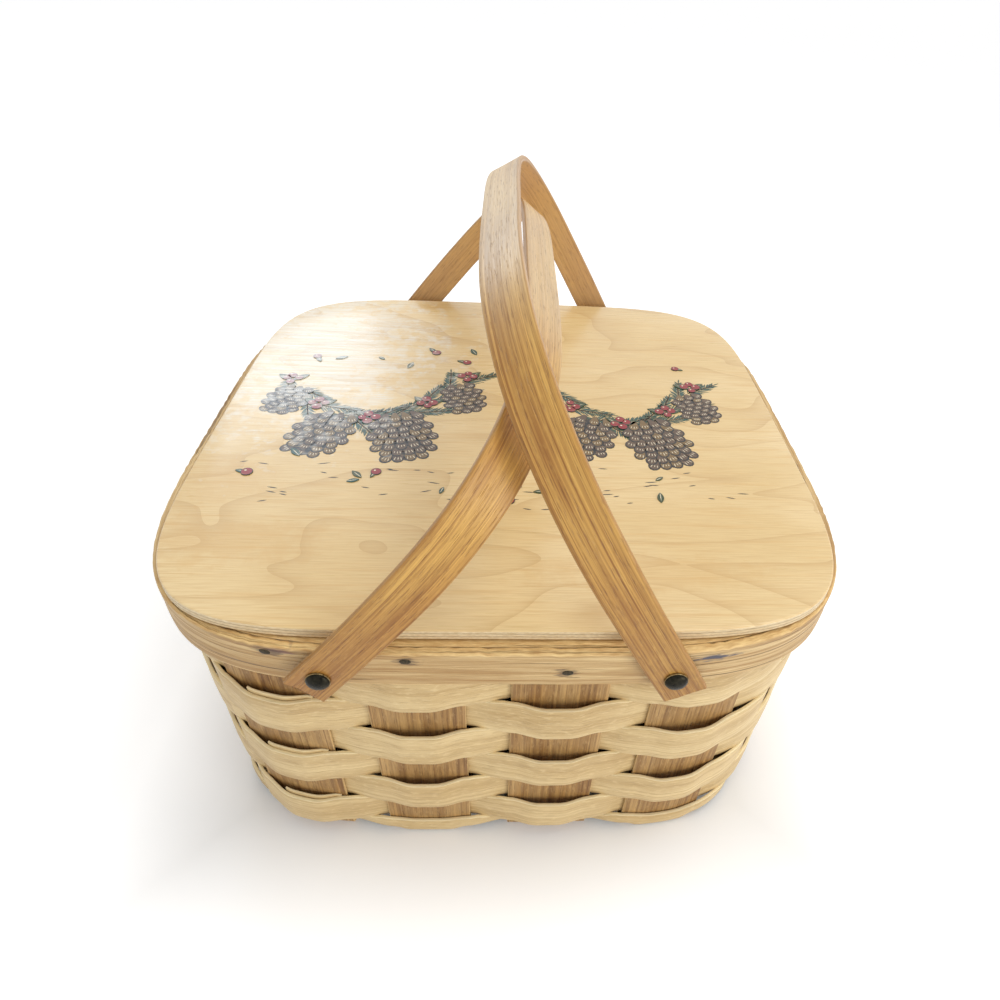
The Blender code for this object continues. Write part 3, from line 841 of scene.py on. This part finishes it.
def make_nails(material):
    """The small nails through the rim: on the front as photographed, and alike on the other sides."""
    rng = random.Random(5)
    places = [(0, lateral, height) for lateral, height in front_nails]
    middle = (wall_height + rim_bottom) / 2
    aside, up = nail_scatter
    for side in (1, 2, 3):
        for lateral in other_nails:
            places.append((side, lateral + rng.uniform(-aside, aside), middle + rng.uniform(-up, up)))
    face = rim_seat + outer_hoop_thickness
    for index, (side, lateral, height) in enumerate(places):
        point, way = wall_frame(np.array([lateral]), np.array([height]))
        seat = turn(point + way * (face - nail_sink), side)[0]
        out = Vector(turn(way, side)[0])
        matrix = Matrix.Translation(seat) @ out.to_track_quat("Z", "Y").to_matrix().to_4x4()
        matrix = matrix @ Matrix.Diagonal(nail_stretch)
        nail = turned(f"rim_nail_{index + 1}", nail_profile, matrix, 16, material)
        place_piece(nail, "basket", "rivet_metal")


# Turned metal pieces

def turned(name, profile, matrix, segments, material, edge_from=math.inf):
    """A solid turned about Z from (radius, height) points, stood in place by the matrix.

    Points farther out than edge_from are marked as a rubbed edge.
    """
    shape = bmesh.new()
    corners = [shape.verts.new((radius, 0, height)) for radius, height in profile]
    lines = [shape.edges.new(pair) for pair in zip(corners, corners[1:])]
    bmesh.ops.spin(
        shape,
        geom=corners + lines,
        cent=(0, 0, 0),
        axis=(0, 0, 1),
        angle=math.tau,
        steps=segments,
        use_merge=True,
        use_duplicate=False,
    )
    bmesh.ops.remove_doubles(shape, verts=shape.verts, dist=1e-6)
    mesh = bpy.data.meshes.new(name)
    shape.to_mesh(mesh)
    shape.free()
    rubbed = [math.hypot(vertex.co.x, vertex.co.y) > edge_from for vertex in mesh.vertices]
    mark_points(mesh, "edge", rubbed, len(rubbed))
    mesh.transform(matrix)
    mesh.materials.append(material)
    return finish_mesh(name, mesh)


def washer_face(pivot):
    """How far the washers' seats on the inner hoop lie from the middle of the basket."""
    widest = max(abs(place.x) for place in pivots.values())
    lateral = np.array([widest + washer_radius])
    height = np.array([pivot.z - washer_radius])
    point, way = wall_frame(lateral, height)
    return float(-(point - way * (rim_seat + inner_hoop_thickness))[0, 1]) - seat_gap


def rivet_profile(face):
    """Domed head with a rolled rim, shank and spread tail, along the rivet's own axis."""
    seat = leg_inner_face + handle_thickness + seat_gap
    tail = face - washer_thickness - seat_gap
    dome = rivet_head_height - rivet_rim_height
    profile = []
    for i in range(11):
        angle = math.pi / 2 * i / 10
        radius = rivet_head_radius * 0.93 * math.sin(angle)
        profile.append((radius, seat + rivet_rim_height + dome * math.cos(angle)))
    return profile + [
        (rivet_head_radius * 0.985, seat + rivet_rim_height * 0.9),
        (rivet_head_radius, seat + rivet_rim_height * 0.4),
        (rivet_head_radius * 0.97, seat),
        (rivet_radius, seat),
        (rivet_radius, tail),
        (rivet_tail_radius, tail),
        (rivet_tail_radius * 1.02, tail - rivet_tail_length * 0.5),
        (rivet_tail_radius * 0.8, tail - rivet_tail_length),
        (0, tail - rivet_tail_length * 0.9),
    ]


def washer_profile(face):
    hole = rivet_radius + rivet_clearance
    easing = washer_thickness * 0.2
    return [
        (hole, face),
        (washer_radius - easing, face),
        (washer_radius, face - easing),
        (washer_radius, face - washer_thickness + easing),
        (washer_radius - easing, face - washer_thickness),
        (hole, face - washer_thickness),
        (hole, face),
    ]


def make_rivets(material):
    for side in ("right", "left"):
        pivot = pivots[f"{side}_handle"]
        face = washer_face(pivot)
        shapes = (
            ("rivet_head", "rivet", rivet_profile(face), rivet_head_radius * rivet_rubbed_share),
            ("washer_ring", "washer", washer_profile(face), math.inf),
        )
        for end, quarter in (("front", math.pi / 2), ("back", -math.pi / 2)):
            matrix = Matrix.Translation((pivot.x, 0, pivot.z)) @ Matrix.Rotation(quarter, 4, "X")
            for label, node, profile, edge_from in shapes:
                name = f"{label}_{end}_{side}"
                piece = turned(name, profile, matrix, rivet_segments, material, edge_from)
                place_piece(piece, "basket", "rivet_metal", f"{node}_{end}_{side}")


# Handles

def handle_line(shape):
    """Centre line of a handle as (along the basket, above the pivot), front foot first."""
    reach = leg_inner_face + handle_thickness / 2
    angle = np.linspace(0, math.pi, 181)
    along, up = -np.cos(angle), np.sin(angle)
    power = shape["roundness"]
    scale = ((np.abs(along) / reach) ** power + (up / shape["height"]) ** power) ** (-1 / power)
    taper = 1 - shape["taper"] * (scale * up / shape["height"]) ** 2
    middle = np.stack([along * scale * taper, up * scale], 1)
    drop = np.linspace(-handle_tail, 0, 9)[:-1]
    foot = np.stack([0 * drop - reach, drop], 1)
    return np.concatenate([foot, middle, foot[::-1] * (-1, 1)])


def end_wear(share, seed, amount):
    """How far a worn end falls short at each place across it."""
    rng = random.Random(seed)
    total = np.zeros_like(share)
    for wave in (1.3, 2.9, 6.1, 11.0):
        total += np.abs(np.sin(share * wave + rng.uniform(0, 6))) * rng.uniform(0.3, 1.0) / wave
    return total * amount


def make_handle(side, material, seed, chips):
    """A bent strip whose grain runs its whole length, leaned to its place at rest."""
    body = f"{side}_handle"
    shape = handle_shapes[body]
    rng = random.Random(seed)
    profile = strip_profile(handle_thickness, handle_easing, 10, 3)
    share, extra, through, edge = profile
    line = handle_line(shape)
    along = distances(line)
    length = along[-1]
    from_end = np.minimum(along, length - along)
    tangent = np.gradient(line, axis=0)
    tangent /= np.linalg.norm(tangent, axis=1, keepdims=True)
    out = np.stack([-tangent[:, 1], tangent[:, 0]], 1)
    uneven = ripple(rng, along, length, (2, 5, 9), handle_unevenness)
    width = handle_width / 2 - handle_easing + uneven
    sway = ripple(rng, along, length, (1, 3), handle_sway) * (from_end > handle_tail * 1.5)
    wide = share * width[:, None] + extra + sway[:, None]
    cup = (share**2 - 0.4) * handle_cup
    flat = line[:, None, :] + out[:, None, :] * (through + cup)[None, :, None]
    for station, sign, wear in ((0, 1, chips[0]), (-1, -1, chips[1])):
        short = end_wear(share, seed + station, wear)
        flat[station] += tangent[station] * sign * short[:, None]
    points = np.stack([wide, flat[..., 0], flat[..., 1]], -1)
    lean = np.array(Matrix.Rotation(math.radians(shape["lean"]), 3, "Y"))
    points = points @ lean.T + np.array(pivots[body])
    across = across_distance(profile, handle_width, handle_easing)
    shift = rng.uniform(0, 50)
    name = f"handle_strip_{side}"
    piece = skin(name, points, along + shift, across + shift, edge * 0.6, False, material)
    # Painted sheen on the crown, where the arch is highest
    arch = np.sin(math.pi * along / length)
    painted_sheen = smooth((arch - handle_sheen_from) / (1 - handle_sheen_from))
    # Painted shade, darkest at the feet
    foot = smooth(1 - from_end / handle_foot_shade_reach)
    marks = (("painted_sheen", painted_sheen[:, None]), ("foot", foot[:, None]), ("inner", (through < 0)[None, :]))
    for label, values in marks:
        mark_points(piece.data, label, values, (len(along), len(share)))
    place_piece(piece, body, "handle_wood", f"handle_{side}")


def make_handles(material):
    make_handle("right", material, 91, (0.0009, 0.0009))
    make_handle("left", material, 93, (0.0034, 0.0009))


# Lid

def lid_outline(half):
    angle = np.arange(lid_points) * math.tau / lid_points
    across, along = np.cos(angle), np.sin(angle)
    power = lid_roundness
    reach = half / (np.abs(across) ** power + np.abs(along) ** power) ** (1 / power)
    return np.stack([reach * across, reach * along], 1)


def lid_rings():
    """Half widths and heights of the lid's rings, from the middle of its underside, round its
    two eased edges, to the middle of its top."""
    thickness = lid_top - lid_bottom
    soft = lid_round_over * 0.6
    flat = (lid_half * 0.35, lid_half - 0.02)
    rings = [(half, lid_bottom) for half in flat]
    for k in range(4):
        angle = math.pi / 2 * k / 3
        rings.append((lid_half - soft * (1 - math.sin(angle)), lid_bottom + soft * (1 - math.cos(angle))))
    for k in range(1, 6):
        rings.append((lid_half, lid_bottom + thickness * k / 6))
    for k in range(5):
        angle = math.pi / 2 * k / 4
        inward = lid_round_over * (1 - math.cos(angle))
        rings.append((lid_half - inward, lid_top - lid_round_over * (1 - math.sin(angle))))
    return rings + [(half, lid_top) for half in reversed(flat)]


def make_lid(face_material, edge_material):
    """A plywood square with bowed sides, its top edge rounded over and its plies showing."""
    rings = lid_rings()
    cut_rows = range(2, 12)
    points, faces, kinds = [], [], []
    for reach, height in rings:
        points += [(x, y, height) for x, y in lid_outline(reach)]
    for row in range(len(rings) - 1):
        low, high = row * lid_points, (row + 1) * lid_points
        for i in range(lid_points):
            j = (i + 1) % lid_points
            faces.append((low + i, low + j, high + j, high + i))
            kinds.append(1 if row in cut_rows else 0)
    for first in (0, (len(rings) - 1) * lid_points):
        faces.append(tuple(range(first, first + lid_points)))
        kinds.append(0)
    mesh = new_mesh("lid_board", points, faces, face_material, edge_material)
    mesh.polygons.foreach_set("material_index", kinds)
    place_piece(finish_mesh("lid_board", mesh), "lid", "lid_ply", "lid_panel")


# The lid's print: a generic winter garland of fir, cones and berries

ink_colours = {
    "charcoal": srgb(20, 20, 24),
    "fir_green": srgb(12, 72, 64),
    "moss": srgb(48, 68, 34),
    "crimson": srgb(148, 14, 32),
    "umber": srgb(92, 70, 52),
    "olive": srgb(120, 94, 52),
    "cream": srgb(236, 224, 196),
}
ink_layer = 0.000015
twig_step = 0.0011
needle_length = 0.0085
needle_width = 0.0009
cone_rows = 8
cone_scale_pitch = 0.0046
cone_scale_width = 0.0066
cone_face_width = 0.0053
stroke_width = 0.00042
berry_radii = (0.0021, 0.0027)
berry_spread = 0.0036


class Print:
    """Outlines of thin ink, gathered by colour and stacked in layers on the lid."""

    def __init__(self):
        self.points = {name: [] for name in ink_colours}
        self.faces = {name: [] for name in ink_colours}

    def stamp(self, colour, outline, layer):
        points, faces = self.points[colour], self.faces[colour]
        first, count = len(points), len(outline)
        for height in (lid_top - ink_layer, lid_top + ink_layer * (layer + 1)):
            points += [(x, y, height) for x, y in outline]
        faces.append(tuple(range(first + count - 1, first - 1, -1)))
        faces.append(tuple(range(first + count, first + count * 2)))
        for i in range(count):
            j = (i + 1) % count
            faces.append((first + i, first + j, first + count + j, first + count + i))

    def build(self):
        for colour, points in self.points.items():
            name = "lid_print_" + colour
            mesh = new_mesh(name, points, self.faces[colour], ink_material(colour))
            place_piece(finish_mesh(name, mesh), "lid", "lid_ply")


def ink_material(colour):
    """Ink that sinks into the birch: a little cloudy, with the grain's fine gaps in it."""
    ink = Recipe("ink_" + colour, Coat_Weight=0.25, Coat_Roughness=0.16)
    place = ink.object_place()
    gaps = ink.noise(place, (90.0, 1500.0, 0.0))
    cloud = ink.noise(place, 160.0)
    tone = ink.mix(ink.span(cloud, 0.35, 0.7, 0.0, 0.12), ink_colours[colour], srgb(150, 134, 112))
    tone = ink.mix(ink.span(gaps, 0.58, 0.72, 0.0, 0.4), tone, srgb(220, 190, 142))
    # The same pale scratches as on the lid: wear in the varnish and a painted glare
    ink.paint(scuffs_and_glare(ink, place, tone))
    ink.gloss(cloud, 0.28, 0.42)
    return ink.material


def direction(angle):
    return np.array([math.cos(angle), math.sin(angle)])


def laid(outline, start, heading):
    """An outline drawn along X from nought, turned to heading and moved to start."""
    c, s = direction(heading)
    return outline @ np.array([[c, s], [-s, c]]) + np.array(start)


def petal(start, heading, length, width, fullness=0.8, steps=5):
    """The outline of a leaf, needle or scale that grows from start towards heading."""
    share = np.linspace(0, 1, steps + 1)
    side = np.sin(share * math.pi) ** fullness * width / 2
    half = np.stack([share * length, side], 1)
    return laid(np.concatenate([half, half[-2:0:-1] * (1, -1)]), start, heading)


def fan(start, heading, length, width):
    """The outline of a cone's scale: narrow at its foot and round at its tip."""
    angle = np.linspace(-math.pi / 2, math.pi / 2, 7)
    tip = np.stack([length * (0.6 + 0.4 * np.cos(angle)), width / 2 * np.sin(angle)], 1)
    return laid(np.concatenate([[[0, -width * 0.15]], tip, [[0, width * 0.15]]]), start, heading)


def sprig(art, rng, start, heading, length, bend):
    """A fir twig: a thin stem between two rows of needles."""
    steps = int(length / twig_step)
    point, way = np.array(start, float), heading
    for step in range(steps):
        needle = needle_length * (1 - 0.55 * (step / steps)) * rng.uniform(0.8, 1.1)
        colour = "fir_green" if rng.random() < 0.7 else "moss"
        for side in (1, -1):
            angle = way + side * rng.uniform(0.55, 0.85)
            layer = 1 + (step + side) % 3
            art.stamp(colour, petal(point, angle, needle, needle_width, 0.7, 3), layer)
        art.stamp("umber", petal(point, way, 0.0024, needle_width, 0.5, 3), 4)
        point = point + direction(way) * length / steps
        way += bend / steps
    art.stamp("moss", petal(point, way, 0.0050, 0.0010, 0.7, 3), 2)


def cone(art, rng, start, heading, length, width):
    """A pine cone: rows of overlapping scales with dark outlines and pale strokes."""
    art.stamp("charcoal", petal(start, heading, length, width * 1.05, 0.55, 12), 5)
    along = direction(heading)
    aside = np.array([-along[1], along[0]])
    scale = length / cone_rows * 1.25
    for row in range(cone_rows):
        share = 0.90 - 0.84 * row / (cone_rows - 1)
        wide = width * math.sin(math.pi * (0.12 + share * 0.80)) ** 0.6
        count = max(2, round(wide / cone_scale_pitch))
        layer = 6 + row * 3
        for k in range(count):
            place = (k + 0.5 * (row % 2) + 0.25) / count - 0.5
            if abs(place) > 0.5:
                continue
            foot = np.array(start) + along * share * length + aside * place * wide
            foot = foot - along * scale * 0.75
            turn_out = heading + place * 1.3
            art.stamp("charcoal", fan(foot, turn_out, scale * 1.50, cone_scale_width), layer)
            colour = "umber" if rng.random() < 0.7 else "olive"
            art.stamp(colour, fan(foot, turn_out, scale * 1.36, cone_face_width), layer + 1)
            for aim in (-0.22, 0.02, 0.24):
                way = turn_out + aim
                stroke = scale * rng.uniform(0.25, 0.50)
                tip = foot + direction(way) * scale * 0.80
                art.stamp("cream", petal(tip, way, stroke, stroke_width, 0.5, 3), layer + 2)


def berry(art, place, radius):
    angle = np.arange(14) * math.tau / 14
    disc = np.stack([np.cos(angle), np.sin(angle)], 1)
    place = np.array(place)
    art.stamp("charcoal", place + disc * radius * 1.12, 31)
    art.stamp("crimson", place + disc * radius, 32)
    art.stamp("cream", place + radius * np.array([-0.3, 0.35]) + disc * radius * 0.22, 33)


def berries(art, rng, place, count):
    reach = berry_spread if count > 1 else 0
    for k in range(count):
        angle = math.tau * k / count + rng.uniform(-0.3, 0.3)
        berry(art, np.array(place) + reach * direction(angle), rng.uniform(*berry_radii))


def leaf(art, place, heading, length, colour):
    art.stamp(colour, petal(place, heading, length, length * 0.42, 0.9, 8), 28)
    art.stamp("cream", petal(place, heading, length * 0.85, 0.0004, 0.5, 3), 29)


def swag(art, rng, left, right, sag):
    """A garland that hangs between two points, with cones below it and berries along it."""
    left, right = np.array(left), np.array(right)
    low = (left + right) / 2 + np.array([0, -2 * sag])

    def along(t):
        return left * (1 - t) ** 2 + low * 2 * t * (1 - t) + right * t * t

    twigs = 15
    for k in range(twigs):
        t = (k + 0.3) / twigs
        way = (low - left) * (1 - t) + (right - low) * t
        heading = math.atan2(way[1], way[0]) + (0.55 if k % 2 else -0.55)
        sprig(art, rng, along(t), heading, rng.uniform(0.020, 0.027), rng.uniform(-0.4, 0.4))
    for t, length, width, lean in (
        (0.08, 0.028, 0.018, -0.25),
        (0.34, 0.040, 0.024, -0.30),
        (0.64, 0.043, 0.026, 0.25),
        (0.93, 0.030, 0.018, 0.3),
    ):
        cone(art, rng, along(t), -math.pi / 2 + lean, length, width)
    for t in (0.03, 0.22, 0.50, 0.78, 0.98):
        berries(art, rng, along(t) + (0, 0.002), 4)
        for side in (1, -1):
            leaf(art, along(t), math.pi / 2 + side * rng.uniform(0.7, 1.2), 0.011, "moss")


def make_print():
    rng = random.Random(2024)
    art = Print()
    swag(art, rng, (-0.128, 0.040), (-0.022, 0.046), 0.048)
    swag(art, rng, (0.014, 0.046), (0.112, 0.040), 0.048)
    for _ in range(46):
        spot = (rng.uniform(-0.136, 0.116), rng.uniform(-0.080, -0.044))
        length = rng.uniform(0.003, 0.007)
        art.stamp("charcoal", petal(spot, rng.uniform(-0.3, 0.3), length, 0.0007, 0.5, 3), 1)
    for _ in range(22):
        band = rng.choice(((-0.076, -0.040), (0.058, 0.074)))
        spot = (rng.uniform(-0.132, 0.112), rng.uniform(*band))
        heading = rng.uniform(0, math.tau)
        length = rng.uniform(0.005, 0.009)
        leaf(art, spot, heading, length, rng.choice(("fir_green", "moss")))
        if rng.random() < 0.4:
            berries(art, rng, spot, 1)
    art.build()


def dress_cleats(material):
    for node in ("lid_cleat_front", "lid_cleat_back"):
        materials = frame["nodes"][node].data.materials
        materials.clear()
        materials.append(material)


# Stage: floor, world, lights and camera

def make_floor():
    """Pale paper that keeps the object's shadow, and turns white where it is seen or reflected."""
    floor = Recipe("floor_paper", Roughness=0.9)
    place = floor.object_place()
    grit = floor.noise(place, 30.0, 2.0)
    floor.paint(floor.mix(grit, (0.90, 0.90, 0.90, 1.0), (0.92, 0.92, 0.92, 1.0)))
    aside, along = (floor.math("ABSOLUTE", floor.part(place, axis)) for axis in "XY")
    outside = floor.span(floor.math("MAXIMUM", aside, along), 0.135, 0.200)
    strength = floor.math("MULTIPLY", floor.math("MULTIPLY", floor.seen(), outside), 0.32)
    lift = floor.node("Emission", {"Strength": strength})
    both = floor.node("AddShader", {0: floor.shader.outputs[0], 1: lift.outputs[0]})
    floor.tree.links.new(both.outputs[0], floor.tree.nodes["Material Output"].inputs["Surface"])
    reach = 60.0
    corners = [(-reach, -reach, 0), (reach, -reach, 0), (reach, reach, 0), (-reach, reach, 0)]
    mesh = new_mesh("floor", corners, [(0, 1, 2, 3)], floor.material)
    add_object("floor", mesh)


def make_world():
    """White where it is seen, reflected or seen through, and plain soft light on the object."""
    world = bpy.data.worlds.new("studio")
    bpy.context.scene.world = world
    world.use_nodes = True
    sky = Nodes(world.node_tree)
    white = (1.0, 1.0, 1.0, 1.0)
    light = sky.tree.nodes["Background"]
    light.inputs["Color"].default_value = white
    light.inputs["Strength"].default_value = 0.72
    shown = sky.node("Background", {"Color": white, "Strength": 1.0})
    both = sky.node("MixShader", {0: sky.seen(), 1: light.outputs[0], 2: shown.outputs[0]})
    sky.tree.links.new(both.outputs[0], sky.tree.nodes["World Output"].inputs["Surface"])


def area_light(name, place, target, size, power, colour):
    data = bpy.data.lights.new(name, "AREA")
    data.shape = "RECTANGLE"
    data.size, data.size_y = size
    data.energy = power
    data.color = colour
    lamp = add_object(name, data)
    lamp.location = place
    lamp.rotation_euler = (Vector(target) - Vector(place)).to_track_quat("-Z", "Y").to_euler()


def make_lights():
    area_light("softbox_top", (0.55, 0.0, 1.35), (0, 0, 0.15), (0.6, 0.6), 4.9, (1.0, 0.98, 0.94))
    area_light("softbox_side", (1.1, -1.2, 0.4), (0, 0, 0.1), (0.8, 0.8), 7.8, (1.0, 0.98, 0.95))
    area_light("window", (-0.66, 1.5, 0.98), (-0.08, 0.09, 0.17), (0.60, 0.36), 3.7, (0.70, 0.85, 1.0))


def make_camera():
    """The photograph's camera: solved from the lid's, the rim's and the rivets' places in it."""
    place = Vector((-0.0010, -0.3338, 0.38294))
    dip, heading, roll = 0.6814, 0.0834, 0.0695
    focal_pixels, frame_pixels, centre_pixel = 709.13, 1000, 550
    sensor = 36.0
    forward = Vector((
        math.sin(heading) * math.cos(dip), math.cos(heading) * math.cos(dip), -math.sin(dip)
    ))
    level = Vector((math.cos(heading), -math.sin(heading), 0))
    down = forward.cross(level)
    right = level * math.cos(roll) - down * math.sin(roll)
    up = -(level * math.sin(roll) + down * math.cos(roll))
    data = bpy.data.cameras.new("camera")
    data.sensor_width = sensor
    data.lens = focal_pixels / frame_pixels * sensor
    data.shift_x = (frame_pixels / 2 - centre_pixel) / frame_pixels
    data.clip_start = 0.01
    camera = add_object("camera", data)
    camera.matrix_world = Matrix.Translation(place) @ Matrix((right, up, -forward)).transposed().to_4x4()
    bpy.context.scene.camera = camera


def main():
    bpy.context.scene.view_settings.view_transform = "Standard"
    make_camera()
    make_world()
    make_lights()
    make_floor()
    weaver_wood = weaver_material()
    make_weavers(weaver_wood)
    make_laps(weaver_wood)
    make_stakes(stake_material())
    make_hoops(hoop_material())
    make_nails(nail_material())
    make_rivets(rivet_material())
    make_handles(handle_material())
    make_lid(lid_material(), ply_edge_material())
    make_print()
    dress_cleats(cleat_material())


main()
